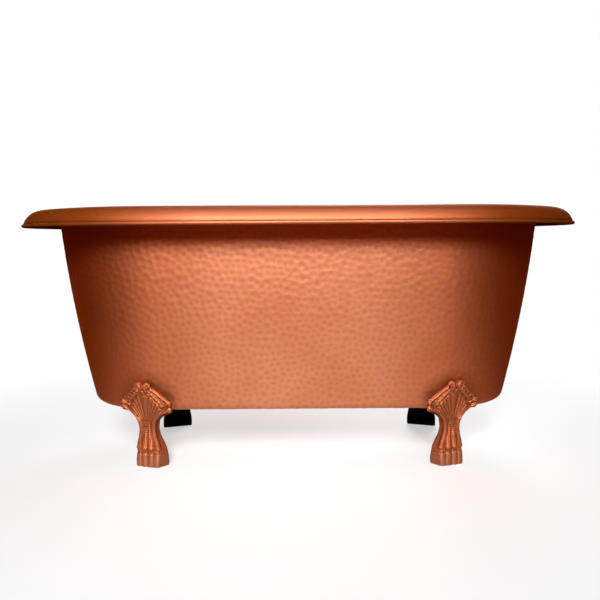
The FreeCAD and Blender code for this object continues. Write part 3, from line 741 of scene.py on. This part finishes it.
# Locknut: a forged ring nut with six flats, drawn up under the floor against a slip washer and a gasket.
# Its corners are turned off at thirty degrees.
NUT_FLATS = 0.060
NUT_HOLE = 0.02395
NUT_CHAMFER = 0.0022
NUT_ANGLE = math.radians(20)
nut_low, nut_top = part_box("waste_locknut")[0][2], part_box("waste_locknut")[1][2]
nut_corner = NUT_FLATS / 2 / math.cos(QUARTER / 3)
nut_face = NUT_FLATS / 2 - NUT_CHAMFER / 4
blank_profile = [
    (NUT_HOLE, nut_low),
    (nut_face, nut_low),
    (nut_corner, nut_low + NUT_CHAMFER),
    (nut_corner, nut_top - NUT_CHAMFER),
    (nut_face, nut_top),
    (NUT_HOLE, nut_top),
]
locknut = turn_on_lathe("waste_ring_nut", blank_profile)
corner_on_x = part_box("waste_locknut")[1][0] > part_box("waste_locknut")[1][1]
bpy.ops.object.select_all(action="DESELECT")
bpy.ops.mesh.primitive_cylinder_add(
    vertices=6,
    radius=nut_corner,
    depth=2 * (nut_top - nut_low),
    location=(0, 0, (nut_low + nut_top) / 2),
    rotation=(0, 0, QUARTER if corner_on_x else 0),
)
flats = bpy.context.object
take_up(locknut)
work(locknut, "six_flats", "BOOLEAN", operation="INTERSECT", solver="EXACT", object=flats)
bpy.data.objects.remove(flats)
bpy.ops.object.shade_smooth_by_angle(angle=NUT_ANGLE)
locknut.data.materials.clear()
locknut.data.materials.append(waste_copper)
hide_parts("waste_locknut")
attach(locknut, "tub")

# Stopper: a domed cap on a sleeve that slides up and down the post, with a rubber seal under its edge.
# The cap is spun from copper and polished.
CAP_RADIUS = 0.029
CAP_EDGE = 0.0025
CAP_BOSS_RADIUS = 0.009
CAP_BOSS_DEPTH = 0.005
SLEEVE_RADIUS = 0.00555
DOME_STEPS = 14
CAP_BREAK = 0.0006
cap_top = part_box("stopper_cap")[1][2]
boss_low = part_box("stopper_cap")[0][2]
cap_low = boss_low + CAP_BOSS_DEPTH
dome_rise = cap_top - cap_low - CAP_EDGE
dome_radius = (CAP_RADIUS**2 + dome_rise**2) / (2 * dome_rise)
dome_angle = math.asin(CAP_RADIUS / dome_radius)
cap_profile = []
for step in range(DOME_STEPS + 1):
    angle = dome_angle * step / DOME_STEPS
    cap_profile.append((dome_radius * math.sin(angle), cap_top - dome_radius * (1 - math.cos(angle))))
cap_profile += [
    (CAP_RADIUS, cap_low),
    (CAP_BOSS_RADIUS, cap_low),
    (CAP_BOSS_RADIUS, boss_low),
    (SLEEVE_RADIUS, boss_low),
    (SLEEVE_RADIUS, cap_low),
    (0, cap_low),
]
cap = turn_on_lathe("stopper_dome", cap_profile)
break_edges(cap, CAP_BREAK)
cap.data.materials.clear()
cap.data.materials.append(waste_copper)
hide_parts("stopper_cap")
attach(cap, "stopper")

# Feet: cast in copper alloy from one pattern and bolted under the corners of the floor. A paw of four toes
# and a ribbed ankle carry a fluted fan, edged by lobed leaves that curl over at its crest. The casting is
# sand-rough, brown in its hollows and rubbed bright on its high places. Its back and the hollow under it
# are rougher and painted black, a painted shade.
FOOT_INSET = 0.0141
FOOT_BEARING = math.radians(8)
FOOT_YAW = math.radians(20)
FOOT_GRAIN = 0.00135
FOOT_ANGLE = math.radians(75)
FETTLE_ROUNDS = 3
MILLIMETRE = 0.001
WAIST_HEIGHTS = (0, 30, 46, 60, 74, 90, 104)
WAIST_WIDTHS = (1.03, 1.03, 1.05, 0.98, 0.92, 0.94, 1.0)
FAN_ROOT = 103
FAN_FRONT = 20
FAN_SLOPE = math.tan(math.radians(11))
FAN_CURVE = 600
FAN_START = 118
FAN_EDGE = 4
FAN_DEPTH = 5
LEG_AXIS = 5
LEG_CORE = 8
SOLE_EDGE = 4
LEAF_OUTSIDE = [(20, 202), (31, 193.5), (42, 184.5), (53, 175.5), (65, 167)]
LEAF_INSIDE = [(15, 196), (25, 185.5), (33, 177), (40, 170), (45, 163), (47, 157)]
LEAF_TIP = [(46, 157), (56, 160), (66, 166)]
LEAF_MIDDLE = [(23, 194), (33, 186), (44, 177), (56, 167)]
LEAF_LOBES = [(18.5, 192.5), (24.5, 186), (30.5, 179.5), (36.5, 173.5), (42, 167)]
LEAF_SHADOW = [(12, 190), (20, 182), (28, 173.5), (35, 166), (40, 160)]
CURL_RIM = [(3.5, 193), (2.5, 203), (6.5, 211.5), (12.5, 215), (19, 212), (23.5, 204), (24, 195)]
CURL_HOLLOW = [(15, 199), (15.5, 207)]
CURL_FOOT = [(2, 189), (16, 189)]
VOLUTE_EYE = (59, 147)
VOLUTE_RING = 6.0
FLUTES = ((0, 8.6, 81), (13.6, 4.7, 79), (23, 4.5, 74), (32, 4.3, 69), (40.6, 4.1, 64), (48.8, 3.9, 58))
FIELD_WIDTHS = (0, 12, 20, 28, 35, 40, 47)
FIELD_TOPS = (188, 188, 181, 173, 165, 159, 151)
FIELD_TURN = 53.5
FLUTE_START = 15
FLUTE_END = 5
FIELD_EDGES = (2, 8, 3)
FLUTE_RELIEF = 1.8
FLUTE_FLOOR = -0.5
LEAF_BED = 2.0
LEAF_WIDTH = 12
LEAF_EDGES = ((LEAF_OUTSIDE, 4.2, 2.9), (LEAF_INSIDE, 4.2, 3.2), (LEAF_TIP, 6.4, 4.0))
LEAF_HOLLOWS = [(25.5, 191.5), (33.5, 185.3), (43, 177.8), (53, 169.5)]
HOLLOW_DEPTH = 2.2
HOLLOW_WIDTH = 4.6
LOBE_HEIGHT = 5.2
LOBE_WIDTH = 4.8
SHADOW_DEPTH = 1.6
SHADOW_WIDTH = 2.4
RING_DEPTH = 1.8
RING_WIDTH = 1.8
RIB_HEIGHTS = numpy.arange(76, 114, 5.8)
RIB_HALF = 7
TOE_SPREAD = 0.22
TOE_ROOT = 90
TOE_RUN = 30
PAW_HALF = 45
TOE_GROOVES = (0, 17.4)
NAIL_TOP = 33
NAIL_DEPTH = 2.0
NAIL_WIDTH = 1.9
HOLLOW_HEIGHT = 0.022
SAND_SCALE = 260
SAND_HEIGHT = 0.22
FORWARD_PULL = 1.2
RECESS_GAIN = 2.2
# The carved lines of curls, ankle and paw: path across and up, height or depth, and half width
LEG_LINES = [(CURL_RIM, 1.6, 2.8), (CURL_HOLLOW, -4.2, 5.4), (CURL_FOOT, -2.2, 3.0)]
LEG_LINES += [([(0, height), (RIB_HALF, height)], 1.0, 2.3) for height in RIB_HEIGHTS]
LEG_LINES += [([(RIB_HALF + 2, 60), (RIB_HALF + 2, 112)], -1.3, 1.8), ([(17.4, 52), (14.5, 88)], -1.8, 2.4)]
LEG_LINES += [([(side, 0), (side, NAIL_TOP + 14)], -2.2, 2.0) for side in TOE_GROOVES]


def dome(distance, width):
    """A round swelling: one in its middle, nothing beyond its width."""
    return numpy.clip(1 - (distance / width) ** 2, 0, 1)


def bead_along(across, up, path, width):
    """A round bead along a carved line, seen from the front: one on the line, nothing beyond its width."""
    nearest = numpy.full(len(across), numpy.inf)
    for (y, z), (next_y, next_z) in zip(path, path[1:]):
        run_y = next_y - y
        run_z = next_z - z
        share = ((across - y) * run_y + (up - z) * run_z) / (run_y**2 + run_z**2)
        share = numpy.clip(share, 0, 1)
        nearest = numpy.minimum(nearest, numpy.hypot(across - y - share * run_y, up - z - share * run_z))
    return dome(nearest, width)


def knob(across, up, spot, width):
    """A round knob at a spot."""
    return dome(numpy.hypot(across - spot[0], up - spot[1]), width)


def carve_fan(relief, half, up):
    """The relief of the fan: flutes, then leaves along its upper edges with hollows, lobes and volutes."""
    turn = numpy.degrees(numpy.arctan2(half, up - FAN_ROOT))
    run = numpy.hypot(half, up - FAN_ROOT)
    fluted = numpy.full(len(half), FLUTE_FLOOR)
    for middle_turn, half_turn, reach in FLUTES:
        arch = dome(turn - middle_turn, half_turn)
        end = rise(reach - run, FLUTE_END) ** 0.5
        fluted = numpy.maximum(fluted, FLUTE_FLOOR + (FLUTE_RELIEF - FLUTE_FLOOR) * arch * end)
    side_edge, foot_edge, top_edge = FIELD_EDGES
    within = rise(FIELD_TURN - turn, side_edge) * rise(run - FLUTE_START, foot_edge)
    within = within * rise(numpy.interp(half, FIELD_WIDTHS, FIELD_TOPS) - up, top_edge)
    relief = relief + within * (fluted - relief)
    leaf = numpy.minimum(1, 3 * bead_along(half, up, LEAF_MIDDLE, LEAF_WIDTH))
    relief = relief + leaf * (LEAF_BED - relief)
    for path, height, width in LEAF_EDGES:
        relief = numpy.maximum(relief, height * bead_along(half, up, path, width))
    for spot in LEAF_HOLLOWS:
        relief = relief - HOLLOW_DEPTH * knob(half, up, spot, HOLLOW_WIDTH)
    for spot in LEAF_LOBES:
        relief = numpy.maximum(relief, LOBE_HEIGHT * knob(half, up, spot, LOBE_WIDTH))
    relief = relief - SHADOW_DEPTH * bead_along(half, up, LEAF_SHADOW, SHADOW_WIDTH)
    ring = numpy.hypot(half - VOLUTE_EYE[0], up - VOLUTE_EYE[1]) - VOLUTE_RING
    return relief - RING_DEPTH * dome(ring, RING_WIDTH)


def carve_leg(half, up):
    """How far each point of the curls, ankle and paw swells or sinks, with a groove above the nails."""
    swell = numpy.zeros(len(half))
    for path, height, width in LEG_LINES:
        swell += height * bead_along(half, up, path, width)
    return swell - NAIL_DEPTH * dome(up - NAIL_TOP, NAIL_WIDTH)


foot = bpy.data.objects.new("claw_foot_front_left", frame["nodes"]["foot_front_left"].data.copy())
bpy.context.scene.collection.objects.link(foot)
take_up(foot)
bpy.ops.object.mode_set(mode="EDIT")
bpy.ops.mesh.select_all(action="SELECT")
bpy.ops.mesh.remove_doubles(threshold=SHEET / 200)
bpy.ops.object.mode_set(mode="OBJECT")
work(foot, "casting", "REMESH", mode="VOXEL", voxel_size=FOOT_GRAIN)
work(foot, "fettled", "SMOOTH", factor=0.5, iterations=FETTLE_ROUNDS)

foot_radius = BASE_RADIUS - FOOT_INSET
foot_place = numpy.array((
    -HALF_STRAIGHT - foot_radius * math.sin(FOOT_BEARING),
    -foot_radius * math.cos(FOOT_BEARING),
    0,
))
forward = numpy.array((-math.sin(FOOT_YAW), -math.cos(FOOT_YAW), 0))
sideways = numpy.array((math.cos(FOOT_YAW), -math.sin(FOOT_YAW), 0))
places, normals = points_of(foot.data)
ahead = (places - foot_place) @ forward / MILLIMETRE
across = (places - foot_place) @ sideways / MILLIMETRE
up = places[:, 2] / MILLIMETRE
across = across * numpy.interp(up, WAIST_HEIGHTS, WAIST_WIDTHS)
spread = TOE_SPREAD * rise(TOE_ROOT - up, TOE_RUN)
across = across * (1 + spread * dome(across, PAW_HALF))
half = numpy.abs(across)
facing = normals @ forward
in_front = rise(facing - 0.05, 0.35)
fan_front = FAN_FRONT + (up - FAN_ROOT) * FAN_SLOPE - across**2 / FAN_CURVE
relief = ahead - fan_front
on_fan = in_front * rise(up - FAN_START, FAN_EDGE) * rise(relief + FAN_DEPTH, 1)
ahead = ahead + on_fan * (carve_fan(relief, half, up) - relief)
outward = facing * (ahead + LEG_AXIS) + normals @ sideways * across
on_leg = rise(facing + 0.35, 0.3) * rise(outward, LEG_CORE)
swell = carve_leg(half, up) * on_leg
rough = numpy.array([noise.noise(Vector(place) * SAND_SCALE) for place in places]) * SAND_HEIGHT
off_floor = rise(up, SOLE_EDGE)
swell = swell + rough * off_floor * on_leg
places = foot_place + (ahead[:, None] * forward + across[:, None] * sideways) * MILLIMETRE
places[:, 2] = up * MILLIMETRE
way = normals + FORWARD_PULL * forward
way[:, 2] *= off_floor
way /= numpy.linalg.norm(way, axis=1)[:, None]
places = places + way * (swell * MILLIMETRE)[:, None]
foot.data.vertices.foreach_set("co", places.ravel())
foot.data.update()
places, normals = points_of(foot.data)
around = numpy.stack([soften(foot.data, places[:, axis], 2) for axis in range(3)], axis=1)
hollow = ((around - places) * normals).sum(axis=1) / MILLIMETRE
hollow = soften(foot.data, numpy.clip(hollow * RECESS_GAIN, -1, 1), 3)
# Painted shade: the back of the foot and the floor of its hollow are marked to be painted black.
behind = rise(0.12 - normals @ forward, 0.3)
hollow_floor = rise(normals[:, 2] - 0.3, 0.3) * (places[:, 2] < HOLLOW_HEIGHT)
behind = soften(foot.data, numpy.maximum(behind, hollow_floor), 2)
keep_value(foot.data, "back_shade_and_roughness", behind)
keep_value(foot.data, "recess", hollow)
bpy.ops.object.shade_smooth_by_angle(angle=FOOT_ANGLE)

CAST_COPPER = (0.43, 0.124, 0.047, 1)
RUBBED_CASTING = (0.62, 0.21, 0.10, 1)
SAND_BROWN = (0.17, 0.040, 0.010, 1)
# Painted reflection of the white floor: the paw paler and greyer near the floor.
FLOOR_REFLECTION_TINT = (0.42, 0.16, 0.085, 1)
FLOOR_REFLECTION_HEIGHT = 0.034
BACK_SHADE_BLACK = (0.012, 0.006, 0.004, 1)
CASTING_ROUGHNESS = 0.60
cast_copper, surface, start, place = finish("cast_copper")
recess = kept_value(start, "recess")
clouds = texture(start, 40.0, 4.0, place)
sand = texture(start, 900.0, 3.0, place)
colour = (recess * -1.7 + clouds * 0.4 - 0.2).clamped().mix(CAST_COPPER, RUBBED_CASTING)
colour = (recess * 1.6 + clouds * 0.5 + sand * 0.3 - 0.40).clamped().mix(colour, SAND_BROWN)
height = part_of(start, place, "Z")
# Painted reflection of the floor on the paw's lower, rounded places.
floor_reflection = ((FLOOR_REFLECTION_HEIGHT - height) * 90.0 + clouds * 0.5 - recess * 2.0 - 0.25).clamped()
colour = (floor_reflection * 0.7).mix(colour, FLOOR_REFLECTION_TINT)
# Painted shade: black on the back and in the hollow under the foot, which is also rougher there.
back_shade_and_roughness = kept_value(start, "back_shade_and_roughness")
colour = (back_shade_and_roughness * 1.1 + sand * 0.2 - 0.2).clamped().mix(colour, BACK_SHADE_BLACK)
surface.inputs["Metallic"].default_value = 1.0
bump = uneven(start, 0.25, 0.0004, sand)
roughness = CASTING_ROUGHNESS + clouds * 0.10 + back_shade_and_roughness * 0.15
feed(surface, {"Base Color": colour, "Roughness": roughness, "Normal": bump})
foot.data.materials.clear()
foot.data.materials.append(cast_copper)
feet = [(foot, "foot_front_left")]
for corner, flip in (("front_right", (-1, 1, 1)), ("rear_left", (1, -1, 1)), ("rear_right", (-1, -1, 1))):
    take_up(foot)
    bpy.ops.object.duplicate()
    other = bpy.context.object
    other.name = "claw_foot_" + corner
    other.scale = flip
    bpy.ops.object.transform_apply(location=False, rotation=False, scale=True)
    bpy.ops.object.mode_set(mode="EDIT")
    bpy.ops.mesh.select_all(action="SELECT")
    bpy.ops.mesh.normals_make_consistent(inside=False)
    bpy.ops.object.mode_set(mode="OBJECT")
    feet.append((other, "foot_" + corner))
for piece, node in feet:
    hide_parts(node)
    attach(piece, "tub")

# Fixings and seals: steel pads brazed under the floor, with studs, washers and nuts that draw the feet up
# to them, the steel wire in the rolled edge, and rubber seals and a plastic slip washer at the waste.
# They keep their plain shapes and are only given their finishes here.
ZINC = (0.62, 0.63, 0.64, 1)
DULL_ZINC = (0.38, 0.39, 0.41, 1)
STEEL_ROUGHNESS = 0.32
fixing_steel, surface, start, place = finish("fixing_steel")
spangle = start.node("ShaderNodeTexVoronoi", None, {"Vector": place, "Scale": 260.0})
clouds = texture(start, 120.0, 4.0, place)
colour = (spangle * 0.6 + clouds * 0.8 - 0.35).clamped().mix(ZINC, DULL_ZINC)
surface.inputs["Metallic"].default_value = 1.0
bump = uneven(start, 0.1, 0.0002, clouds)
feed(surface, {"Base Color": colour, "Roughness": STEEL_ROUGHNESS + clouds * 0.22, "Normal": bump})

SEAL_BLACK = (0.020, 0.019, 0.019, 1)
BLOOM_GREY = (0.075, 0.072, 0.070, 1)
RUBBER_ROUGHNESS = 0.55
rubber, surface, start, place = finish("rubber")
bloom = texture(start, 180.0, 5.0, place)
pores = texture(start, 1800.0, 2.0, place)
colour = ((bloom - 0.45) * 2.0).clamped().mix(SEAL_BLACK, BLOOM_GREY)
bump = uneven(start, 0.2, 0.0002, pores)
feed(surface, {"Base Color": colour, "Roughness": RUBBER_ROUGHNESS + bloom * 0.25, "Normal": bump})

MILKY_PLASTIC = (0.74, 0.72, 0.66, 1)
AGED_PLASTIC = (0.62, 0.57, 0.47, 1)
PLASTIC_ROUGHNESS = 0.38
slip_plastic, surface, start, place = finish("slip_plastic")
flow = texture(start, 90.0, 4.0, place)
skin = texture(start, 1400.0, 2.0, place)
colour = ((flow - 0.4) * 1.8).clamped().mix(MILKY_PLASTIC, AGED_PLASTIC)
bump = uneven(start, 0.1, 0.0002, skin)
feed(surface, {"Base Color": colour, "Roughness": PLASTIC_ROUGHNESS + flow * 0.15, "Normal": bump})

finishes = {
    "waste_copper": waste_copper,
    "fixing_steel": fixing_steel,
    "rubber": rubber,
    "slip_plastic": slip_plastic,
}
for entry in frame["record"]["subparts"]:
    node = frame["nodes"][entry["node"]]
    if entry["material_slot"] in finishes and not node.hide_render:
        node.data.materials.clear()
        node.data.materials.append(finishes[entry["material_slot"]])

# Studio: a pale floor that runs out to white, a broad lamp in front of the bath and another behind it.
# A dark tent, which only reflections see, glows a dim brown that deepens the copper, and a pool of painted
# light glows pale on its floor.
FLOOR_REACH = 14.0
FLOOR_WHITE = (0.78, 0.78, 0.79, 1)
FLOOR_ROUGHNESS = 0.6
FLOOR_GLOW = 0.75
GLOW_START = 0.9
GLOW_GAIN = 0.5
AIR_LIGHT = 0.12
WHITE = (1, 1, 1, 1)


def seen_directly(start):
    """One for the rays that show the studio itself: from the camera, off gloss and through clear things."""
    camera_ray = start.node("ShaderNodeLightPath", output="Is Camera Ray")
    glossy_ray = start.node("ShaderNodeLightPath", output="Is Glossy Ray")
    clear_ray = start.node("ShaderNodeLightPath", output="Is Transmission Ray")
    return (camera_ray + glossy_ray + clear_ray).clamped()


def hang_lamp(name, place, aim, size, watts, spread):
    """Hangs a soft lamp, so wide and so high, and turns it towards the bath."""
    bpy.ops.object.light_add(type="AREA", location=place)
    lamp = bpy.context.object
    lamp.name = name
    lamp.data.shape = "RECTANGLE"
    lamp.data.size, lamp.data.size_y = size
    lamp.data.energy = watts
    lamp.data.spread = spread
    lamp.rotation_euler = (Vector(aim) - lamp.location).to_track_quat("-Z", "Y").to_euler()


bpy.ops.mesh.primitive_circle_add(vertices=96, radius=FLOOR_REACH, fill_type="NGON")
floor = bpy.context.object
floor.name = "studio_floor"
pale_floor, surface, start, place = finish("pale_floor")
far = vector_step(start, "LENGTH", place, output="Value")
surface.inputs["Base Color"].default_value = FLOOR_WHITE
surface.inputs["Roughness"].default_value = FLOOR_ROUGHNESS
white = start.node("ShaderNodeEmission", None, {"Color": WHITE, "Strength": 1.0})
share = (FLOOR_GLOW + (far - GLOW_START) * GLOW_GAIN).clamped() * seen_directly(start)
surface_shade = Shade(pale_floor.node_tree, surface.outputs["BSDF"])
ground = start.node("ShaderNodeMixShader", None, {0: share, 1: surface_shade, 2: white})
output = pale_floor.node_tree.nodes["Material Output"]
pale_floor.node_tree.links.new(ground.socket, output.inputs["Surface"])
floor.data.materials.append(pale_floor)

world = bpy.data.worlds.new("studio_air")
bpy.context.scene.world = world
world.use_nodes = True
start = Shade(world.node_tree)
background = world.node_tree.nodes["Background"]
background.inputs["Color"].default_value = WHITE
level = AIR_LIGHT + seen_directly(start) * (1 - AIR_LIGHT)
world.node_tree.links.new(level.socket, background.inputs["Strength"])

TENT_SIZE = (11.0, 11.0, 5.0)
TENT_LIFT = 0.0005
TENT_BROWN = (0.085, 0.016, 0.001, 1)
POOL_WHITE = (0.62, 0.60, 0.58, 1)
POOL_CENTRE = (0, -0.35, 0)
POOL_REACH = (1.5, 0.95, 1.0)
bpy.ops.mesh.primitive_cube_add(size=1.0, location=(0, 0, TENT_LIFT + TENT_SIZE[2] / 2), scale=TENT_SIZE)
tent = bpy.context.object
tent.name = "dark_tent"
bpy.ops.object.transform_apply(location=True, rotation=True, scale=True)
tent.visible_camera = False
tent.visible_shadow = False
tent.visible_diffuse = False
glowing_tent_cloth, surface, start, place = finish("glowing_tent_cloth")
# A pool of painted light on the tent's floor, glowing pale in the reflections.
from_pool = vector_step(start, "SUBTRACT", place, POOL_CENTRE)
from_pool = vector_step(start, "DIVIDE", from_pool, POOL_REACH)
far = vector_step(start, "LENGTH", from_pool, output="Value")
near = (1 - far).clamped()
pool = (near * near * (3 - 2 * near)).mix(TENT_BROWN, POOL_WHITE)
tent_glow = start.node("ShaderNodeEmission", None, {"Color": pool, "Strength": 1.0})
cloth_output = glowing_tent_cloth.node_tree.nodes["Material Output"]
glowing_tent_cloth.node_tree.links.new(tent_glow.socket, cloth_output.inputs["Surface"])
tent.data.materials.append(glowing_tent_cloth)

KEY_PLACE = (-0.22, -3.3, 2.2)
KEY_AIM = (-0.04, 0, 0.30)
KEY_SIZE = (1.2, 1.9)
KEY_WATTS = 20
KEY_SPREAD = math.radians(30)
REAR_PLACE = (0.8, 3.2, 2.0)
REAR_AIM = (0, 0, 0.45)
REAR_SIZE = (1.8, 1.8)
REAR_WATTS = 100
REAR_SPREAD = math.radians(180)
hang_lamp("key_lamp", KEY_PLACE, KEY_AIM, KEY_SIZE, KEY_WATTS, KEY_SPREAD)
hang_lamp("rear_lamp", REAR_PLACE, REAR_AIM, REAR_SIZE, REAR_WATTS, REAR_SPREAD)

# Camera: at the photograph's height and distance, looking level with a slight roll.
# The frame is dropped, and shifted a little to the side, as the photograph's is.
PHOTO_WIDTH = 600
FOCAL_PIXELS = 709.7
HORIZON_PIXEL = 239.2
SIDE_PIXELS = 1.8
CAMERA_PLACE = (0, -1.998, 0.571)
CAMERA_ROLL = 0.0067
SENSOR = 36.0
bpy.ops.object.camera_add(location=CAMERA_PLACE, rotation=(QUARTER, CAMERA_ROLL, 0))
camera = bpy.context.object
camera.data.sensor_width = SENSOR
camera.data.lens = FOCAL_PIXELS * SENSOR / PHOTO_WIDTH
camera.data.shift_x = SIDE_PIXELS / PHOTO_WIDTH
camera.data.shift_y = (HORIZON_PIXEL - PHOTO_WIDTH / 2) / PHOTO_WIDTH
bpy.context.scene.camera = camera
bpy.context.scene.view_settings.view_transform = "Standard"
